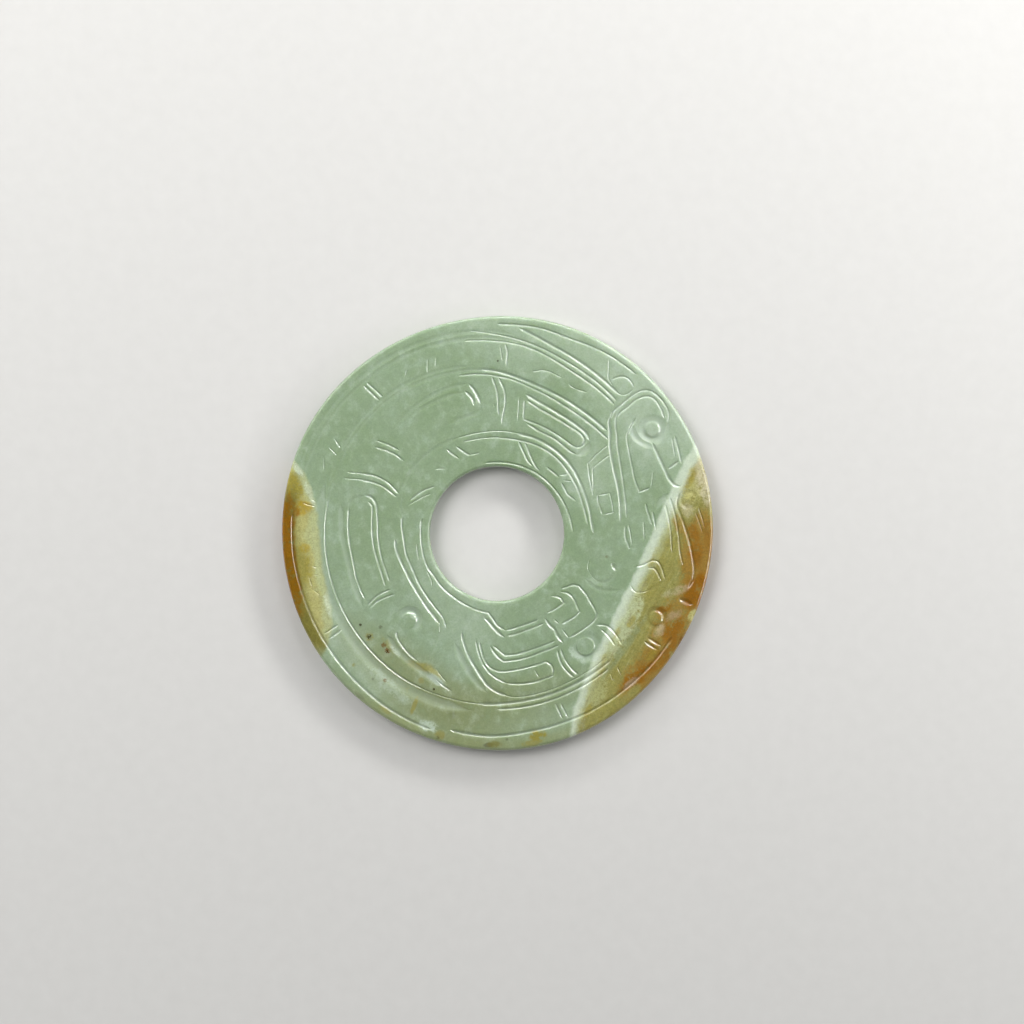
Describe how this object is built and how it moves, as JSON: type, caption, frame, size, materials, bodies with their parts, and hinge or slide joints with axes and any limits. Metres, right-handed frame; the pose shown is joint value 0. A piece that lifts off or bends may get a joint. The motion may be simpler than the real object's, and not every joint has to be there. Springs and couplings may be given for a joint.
{
  "type": "jade bi disc",
  "caption": "Flat carved jade ring with a central hole, one face cut with a coiled dragon and cloud scrolls, the other plainer.",
  "frame": {"origin": "centre of the disc on the plane of its plain underside", "axes": "+Z out of the carved face; +Y towards the top of the carving, +X towards the russet side"},
  "size_m": [0.1196, 0.1204, 0.005],
  "materials": {
    "jade": "polished celadon green nephrite with a pale vein and russet staining at the rim"
  },
  "bodies": {
    "root": {"jade_disc": "jade"}
  },
  "joints": []
}
